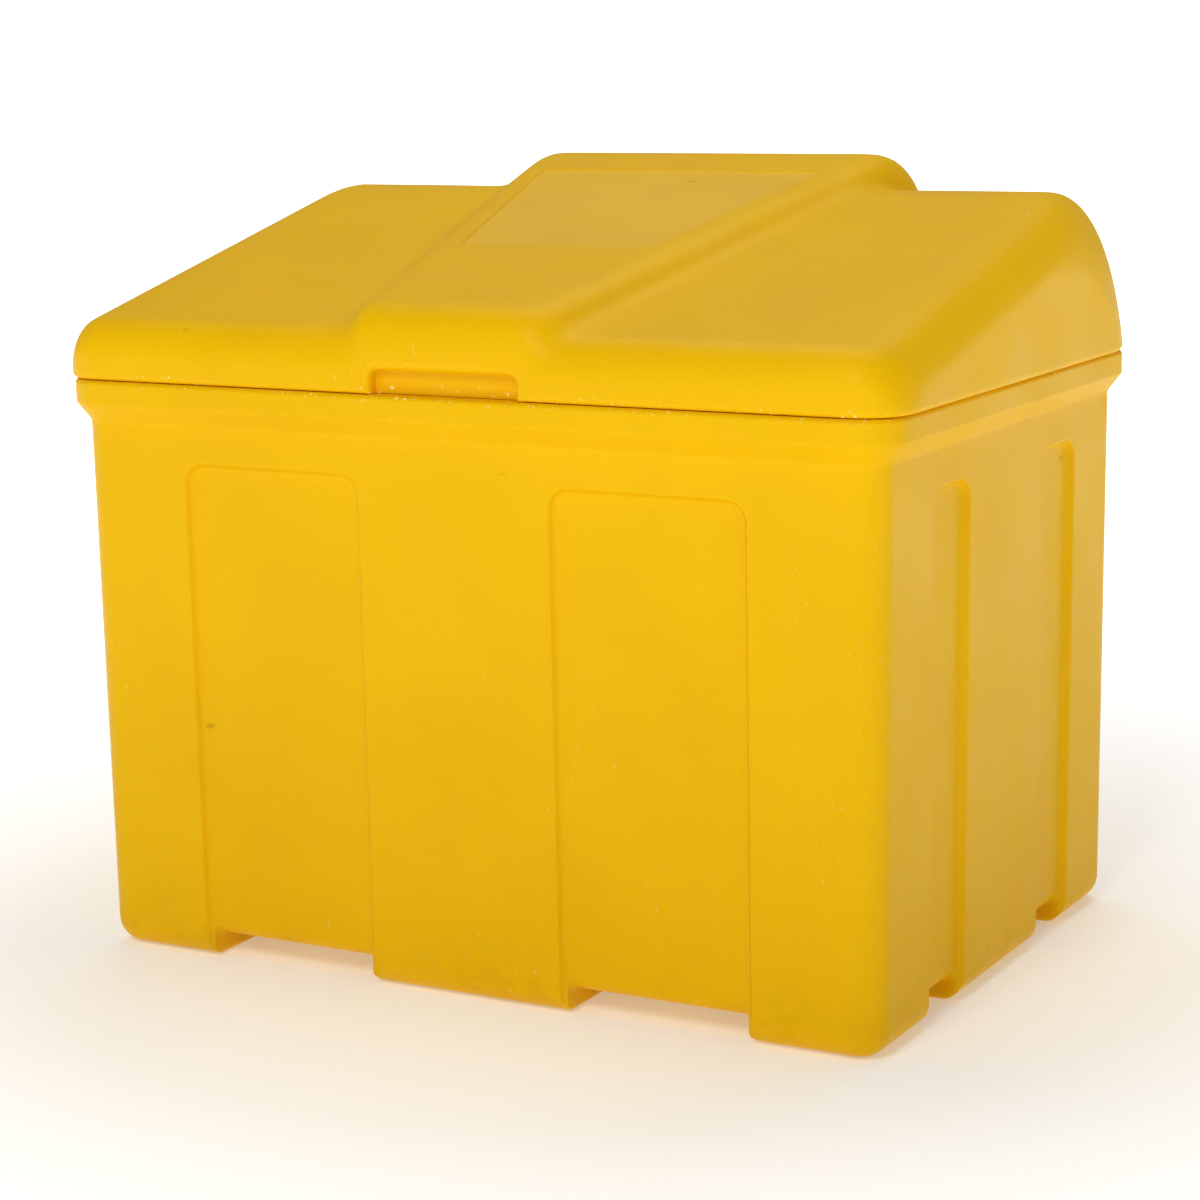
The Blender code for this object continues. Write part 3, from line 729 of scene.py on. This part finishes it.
def model_nut():
    """A locknut: a hexagon with its corners turned off, and a round collar with a nylon ring in it."""
    add_disc("nut", 5.7 * MM, -NUT_HEX_HEIGHT, 0.0, 6)
    nut = leave_edit()
    add_disc("turned", 5.65 * MM, -4.9 * MM, 0.1 * MM)
    pick("EDGE", rim_at(0.1 * MM))
    bpy.ops.mesh.bevel(offset=0.8 * MM, segments=4, profile=0.5, affect="EDGES")
    combine(nut, [leave_edit()], "INTERSECT")
    add_disc("collar", 4.5 * MM, -NUT_HEIGHT, -4 * MM)
    pick("EDGE", rim_at(-NUT_HEIGHT))
    round_edges(0.6 * MM, segments=5)
    combine(nut, [leave_edit()], "UNION")
    dress(nut, turned_steel())
    add_disc("bore", HOLE_RADIUS, -9 * MM, 9 * MM)
    bore = leave_edit()
    combine(nut, [bore], "DIFFERENCE")
    add_disc("ring", 3.9 * MM, -5.7 * MM, -4.6 * MM)
    ring = dress(leave_edit(), nylon())
    add_disc("thread_room", 3.05 * MM, -9 * MM, 9 * MM)
    combine(ring, [leave_edit()], "DIFFERENCE")
    return combine(nut, [ring], "UNION")


class GRIT_OT_fasteners(bpy.types.Operator):
    """Models one bolt, washer and locknut for each wall and sets a copy of it at every hole"""

    bl_idname = "grit_bin.fasteners"
    bl_label = "Fasteners"

    def execute(self, context):
        for label in ("tub", "lid"):
            low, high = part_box(f"{label}_bolt_1")
            masters = {
                "bolt": (model_bolt(high.y - low.y - HEAD_HEIGHT), -HEAD_HEIGHT),
                "washer": (model_washer(), 0.0),
                "nut": (model_nut(), 0.0),
            }
            for kind, (master, face) in masters.items():
                if not master.data.materials:
                    dress(master, turned_steel())
                for i in range(1, 5):
                    node = f"{label}_{kind}_{i}"
                    low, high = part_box(node)
                    piece = copy_of(master, f"fine_{node}")
                    spot = Vector(((low.x + high.x) / 2, high.y + face, (low.z + high.z) / 2))
                    for corner in piece.data.vertices:
                        corner.co += spot
                    shade(piece)
                    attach(piece, f"{label}_body")
                    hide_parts(node)
                bpy.data.objects.remove(master)
        return {"FINISHED"}


class GRIT_OT_hinges(bpy.types.Operator):
    """Gives the hinge leaves and pins their steel"""

    bl_idname = "grit_bin.hinges"
    bl_label = "Hinges"

    def execute(self, context):
        for side in ("left", "right"):
            finishes = {"tub_leaf": rolled_steel(), "lid_leaf": rolled_steel(), "pin": turned_steel()}
            for part, steel in finishes.items():
                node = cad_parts[f"hinge_{side}_{part}"]
                for slot in node.material_slots:
                    slot.material = steel
        return {"FINISHED"}


# ---------------------------------------------------------------- finishes


def linear(hex_colour):
    """An sRGB hex colour as linear red, green, blue and full alpha."""
    channels = [int(hex_colour[i:i + 2], 16) / 255 for i in (1, 3, 5)]
    return [c / 12.92 if c <= 0.04045 else ((c + 0.055) / 1.055) ** 2.4 for c in channels] + [1.0]


def new_material(name):
    material = bpy.data.materials.new(name)
    material.use_nodes = True
    return material, material.node_tree.nodes["Principled BSDF"]


def add_node(material, kind, inputs=None, **attributes):
    """Adds a node. inputs maps a socket to a value, or to another node's output socket."""
    node = material.node_tree.nodes.new(kind)
    for key, value in attributes.items():
        setattr(node, key, value)
    for key, value in (inputs or {}).items():
        if isinstance(value, bpy.types.NodeSocket):
            material.node_tree.links.new(value, node.inputs[key])
        else:
            node.inputs[key].default_value = value
    return node


def link(material, output, target):
    material.node_tree.links.new(output, target)


def ramp(material, value, low, high, to_low=0.0, to_high=1.0):
    """A value stretched from one range to another and held inside it."""
    node = add_node(
        material, "ShaderNodeMapRange",
        {"Value": value, "From Min": low, "From Max": high, "To Min": to_low, "To Max": to_high},
    )
    return node.outputs["Result"]


def noise(material, place, scale, detail=2.0, stretch=(1.0, 1.0, 1.0), shift=(0.0, 0.0, 0.0)):
    """Noise on object coordinates. scale is in cells to the metre; stretch packs them along an axis."""
    mapping = add_node(
        material, "ShaderNodeMapping", {"Vector": place, "Scale": stretch, "Location": shift}
    ).outputs["Vector"]
    node = add_node(
        material, "ShaderNodeTexNoise", {"Vector": mapping, "Scale": scale, "Detail": detail}
    )
    return node.outputs["Fac"]


def blend_colour(material, factor, first, second):
    """The first colour, turned to the second by the factor."""
    node = add_node(material, "ShaderNodeMix", data_type="RGBA")
    for socket, value in (("Factor_Float", factor), ("A_Color", first), ("B_Color", second)):
        target = next(entry for entry in node.inputs if entry.identifier == socket)
        if isinstance(value, bpy.types.NodeSocket):
            link(material, value, target)
        else:
            target.default_value = value
    return next(entry for entry in node.outputs if entry.identifier == "Result_Color")


def times(material, first, second):
    return add_node(
        material, "ShaderNodeMath", {0: first, 1: second}, operation="MULTIPLY"
    ).outputs["Value"]


def polyethylene(name, roughness, peel_depth, scuffs, painted_sheen=0.0):
    """Rotomoulded polyethylene, its pigment ground into the powder. The mould's blasted face gives it a
    satin skin with a fine orange peel; handling leaves pale scuffs, and the foot picks up some dust."""
    if name in bpy.data.materials:
        return bpy.data.materials[name]
    finishes = settings().finishes
    material, shader = new_material(name)
    place = add_node(material, "ShaderNodeTexCoord").outputs["Object"]
    # Pigment clouds about 110 mm across, and a powder grain of 4 mm.
    cloud = noise(material, place, 9.0, 3.0)
    tone = blend_colour(
        material, ramp(material, cloud, 0.35, 0.65), linear(finishes.yellow), linear(finishes.deep_yellow)
    )
    grain = ramp(material, noise(material, place, 240.0, 2.0), 0.35, 0.7, 0.0, 0.22)
    tone = blend_colour(material, grain, tone, linear(finishes.deep_yellow))
    # A painted sheen: the panel's colour is turned a little toward the pale scuff colour.
    if painted_sheen:
        tone = blend_colour(material, painted_sheen, tone, linear(finishes.scuff_and_sheen))
    # Scratches about 1 mm wide and up to 60 mm long, in two directions, only where the skin was rubbed.
    rubbed = ramp(material, noise(material, place, 7.0, 2.0, shift=(3.1, 1.7, 0.4)), 0.52, 0.62)
    for turn, shift in ((20, (0, 0, 0)), (72, (5.0, 2.0, 1.0))):
        slanted = add_node(
            material, "ShaderNodeVectorRotate",
            {"Vector": place, "Axis": (0.45, 0.7, 0.2), "Angle": math.radians(turn)},
        ).outputs["Vector"]
        thread = noise(material, slanted, 14.0, 1.0, (38.0, 38.0, 1.2), shift)
        line = ramp(material, thread, 0.735, 0.785, 0.0, scuffs)
        tone = blend_colour(material, times(material, line, rubbed), tone, linear(finishes.scuff_and_sheen))
    # Whitened burrs a millimetre or two across along the edge where the mould halves met.
    height = add_node(material, "ShaderNodeSeparateXYZ", {"Vector": place}).outputs["Z"]
    above = ramp(material, height, LID_LOW.z - 5 * MM, LID_LOW.z - 2 * MM)
    below = ramp(material, height, LID_LOW.z + 4 * MM, LID_LOW.z + 8 * MM, 1.0, 0.0)
    speck = ramp(material, noise(material, place, 330.0, 1.0), 0.69, 0.74, 0.0, 0.8)
    burr = times(material, times(material, above, below), speck)
    tone = blend_colour(material, burr, tone, linear(finishes.scuff_and_sheen))
    # Dust rubbed into the foot, and a few dark marks.
    foot = ramp(material, height, 0.0, 55 * MM, 0.12, 0.0)
    dust = times(material, foot, ramp(material, noise(material, place, 60.0, 4.0), 0.45, 0.7))
    tone = blend_colour(material, dust, tone, linear(finishes.dirt))
    spot = noise(material, place, 38.0, 1.0, (1.0, 1.0, 2.0), (2.0, 7.0, 4.0))
    mark = ramp(material, spot, 0.8, 0.825, 0.0, 0.3)
    tone = blend_colour(material, mark, tone, linear(finishes.dirt))
    # The peel's cells are about 2 mm, on a skin that waves a little every 40 mm.
    peel = add_node(
        material, "ShaderNodeBump", {"Height": noise(material, place, 480.0, 2.0), "Distance": peel_depth}
    )
    wave = add_node(
        material, "ShaderNodeBump",
        {"Height": noise(material, place, 24.0, 1.0), "Distance": 0.6 * MM, "Normal": peel.outputs["Normal"]},
    )
    gloss = ramp(material, noise(material, place, 16.0, 3.0), 0.3, 0.7, roughness - 0.04, roughness + 0.06)
    link(material, tone, shader.inputs["Base Color"])
    link(material, gloss, shader.inputs["Roughness"])
    link(material, wave.outputs["Normal"], shader.inputs["Normal"])
    shader.inputs["IOR"].default_value = 1.51
    shader.inputs["Specular IOR Level"].default_value = 0.14
    return material


def moulded_skin():
    """Outer faces, blasted mould."""
    return polyethylene("rotomoulded_polyethylene_skin", 0.40, 0.22 * MM, 0.28)


def inner_skin():
    """Inner faces, which no mould touched: duller and more uneven."""
    return polyethylene("rotomoulded_polyethylene_inside", 0.60, 0.5 * MM, 0.15)


def panel_skin():
    """The sunk panel, from a polished insert in the mould: smoother and with more sheen. Its colour is also
    painted a little paler, a painted sheen.
    """
    return polyethylene("rotomoulded_polyethylene_panel", 0.36, 0.12 * MM, 0.1, 0.08)


def stainless(name, roughness, stretch, scale):
    """Stainless steel: a cool grey metal. Fine marks lie along the way it was rolled or turned."""
    if name in bpy.data.materials:
        return bpy.data.materials[name]
    finishes = settings().finishes
    material, shader = new_material(name)
    place = add_node(material, "ShaderNodeTexCoord").outputs["Object"]
    lines = noise(material, place, scale, 3.0, stretch)
    cloud = noise(material, place, 70.0, 3.0)
    # Tea staining: thin brown patches some 10 mm across.
    stain = ramp(material, noise(material, place, 95.0, 4.0, shift=(4.0, 2.0, 8.0)), 0.58, 0.72, 0.0, 0.3)
    tone = blend_colour(
        material, ramp(material, lines, 0.3, 0.7), linear(finishes.steel), linear(finishes.dull_steel)
    )
    tone = blend_colour(material, stain, tone, linear(finishes.stain))
    rough = ramp(material, cloud, 0.3, 0.7, roughness - 0.06, roughness + 0.1)
    bump = add_node(material, "ShaderNodeBump", {"Height": lines, "Strength": 0.5, "Distance": 0.04 * MM})
    link(material, tone, shader.inputs["Base Color"])
    link(material, rough, shader.inputs["Roughness"])
    link(material, bump.outputs["Normal"], shader.inputs["Normal"])
    shader.inputs["Metallic"].default_value = 1.0
    return material


def rolled_steel():
    """Cold-rolled sheet, its fine lines along the hinge."""
    return stainless("stainless_steel_rolled_sheet", 0.34, (1.0, 30.0, 30.0), 40.0)


def turned_steel():
    """Cold-headed steel, with fine rings round the bolts. The pins share it."""
    return stainless("stainless_steel_cold_headed", 0.27, (1.0, 20.0, 1.0), 120.0)


def nylon():
    """Moulded nylon, slightly see-through white with a soft gloss."""
    name = "nylon_insert"
    if name in bpy.data.materials:
        return bpy.data.materials[name]
    finishes = settings().finishes
    material, shader = new_material(name)
    place = add_node(material, "ShaderNodeTexCoord").outputs["Object"]
    cloud = ramp(material, noise(material, place, 400.0), 0.4, 0.6)
    tone = blend_colour(material, cloud, linear(finishes.nylon), linear(finishes.old_nylon))
    link(material, tone, shader.inputs["Base Color"])
    shader.inputs["Roughness"].default_value = 0.35
    shader.inputs["IOR"].default_value = 1.53
    return material


# ---------------------------------------------------------------- studio


class GRIT_OT_studio(bpy.types.Operator):
    """Sets up the floor, the soft lights and the camera"""

    bl_idname = "grit_bin.studio"
    bl_label = "Studio"

    def execute(self, context):
        build_floor()
        build_lights()
        build_camera()
        return {"FINISHED"}


def build_floor():
    """A matt white floor that fades to the white of the air with the distance, so no horizon shows."""
    bpy.ops.object.select_all(action="DESELECT")
    bpy.ops.mesh.primitive_plane_add(size=30.0, location=(0, 0, -0.5 * MM))
    floor = bpy.context.object
    floor.name = "studio_floor"
    material, shader = new_material("matt_white_floor")
    place = add_node(material, "ShaderNodeTexCoord").outputs["Object"]
    far = add_node(material, "ShaderNodeVectorMath", {0: place}, operation="LENGTH").outputs["Value"]
    glow = ramp(material, far, 0.45, 2.4, 0.22, 1.0)
    link(material, glow, shader.inputs["Emission Strength"])
    shader.inputs["Emission Color"].default_value = (1.0, 1.0, 1.0, 1.0)
    shader.inputs["Base Color"].default_value = linear(settings().finishes.floor)
    shader.inputs["Roughness"].default_value = 0.9
    shader.inputs["Specular IOR Level"].default_value = 0.1
    floor.data.materials.append(material)


def build_lights():
    """White air seen behind the bin, dimmer as a light, and three softboxes."""
    world = bpy.data.worlds.new("studio_air")
    world.use_nodes = True
    tree = world.node_tree
    background = tree.nodes["Background"]
    background.inputs["Color"].default_value = (1.0, 1.0, 1.0, 1.0)
    seen = tree.nodes.new("ShaderNodeLightPath")
    strength = tree.nodes.new("ShaderNodeMapRange")
    strength.inputs["To Min"].default_value = 0.26
    strength.inputs["To Max"].default_value = 1.0
    tree.links.new(seen.outputs["Is Camera Ray"], strength.inputs["Value"])
    tree.links.new(strength.outputs["Result"], background.inputs["Strength"])
    bpy.context.scene.world = world
    aim = Vector((0.0, 0.0, 0.25))
    for name, where, size, watts in (
        ("key", (0.4, -2.8, 2.3), 1.1, 26.5),
        ("side", (3.0, -0.6, 1.2), 1.6, 1.0),
        ("top", (-0.2, 0.9, 3.0), 2.4, 26.0),
    ):
        lamp = bpy.data.lights.new(f"{name}_softbox", "AREA")
        lamp.size = size
        lamp.energy = watts
        obj = bpy.data.objects.new(f"{name}_softbox", lamp)
        obj.location = where
        obj.rotation_euler = (aim - Vector(where)).to_track_quat("-Z", "Y").to_euler()
        bpy.context.scene.collection.objects.link(obj)


def build_camera():
    """The camera in front of the bin, to its right and a little above it."""
    lens = bpy.data.cameras.new("studio_camera")
    lens.lens = 88.8
    lens.sensor_width = 36.0
    camera = bpy.data.objects.new("studio_camera", lens)
    where = Vector((1.0599, -1.9250, 0.6739))
    aim = Vector((-0.0089, 0.0, 0.2491))
    roll = math.radians(-1.018)
    forward = (aim - where).normalized()
    right = forward.cross(Vector((0, 0, 1))).normalized()
    up = right.cross(forward)
    rolled_right = right * math.cos(roll) + up * math.sin(roll)
    rolled_up = up * math.cos(roll) - right * math.sin(roll)
    turn = Matrix((rolled_right, rolled_up, -forward)).transposed()
    camera.matrix_world = Matrix.Translation(where) @ turn.to_4x4()
    bpy.context.scene.collection.objects.link(camera)
    bpy.context.scene.camera = camera
    bpy.context.scene.view_settings.view_transform = "Standard"
    bpy.context.scene.view_settings.look = "Medium High Contrast"


# ---------------------------------------------------------------- panel and running


class GRIT_PT_panel(bpy.types.Panel):
    """Lists the pieces of the bin"""

    bl_idname = "GRIT_PT_panel"
    bl_label = "Grit Bin"
    bl_space_type = "VIEW_3D"
    bl_region_type = "UI"
    bl_category = "Grit Bin"

    def draw(self, context):
        for operator in OPERATORS:
            self.layout.operator(operator.bl_idname)


OPERATORS = (GRIT_OT_studio, GRIT_OT_tub, GRIT_OT_lid, GRIT_OT_hinges, GRIT_OT_fasteners)
CLASSES = (TubSizes, LidSizes, Finishes, GritBin) + OPERATORS + (GRIT_PT_panel,)


def register():
    for cls in CLASSES:
        bpy.utils.register_class(cls)
    bpy.types.Scene.grit_bin = PointerProperty(type=GritBin)


def unregister():
    del bpy.types.Scene.grit_bin
    for cls in reversed(CLASSES):
        bpy.utils.unregister_class(cls)


def main():
    register()
    bpy.ops.grit_bin.studio()
    bpy.ops.grit_bin.tub()
    bpy.ops.grit_bin.lid()
    bpy.ops.grit_bin.hinges()
    bpy.ops.grit_bin.fasteners()


if __name__ == "__main__":
    main()
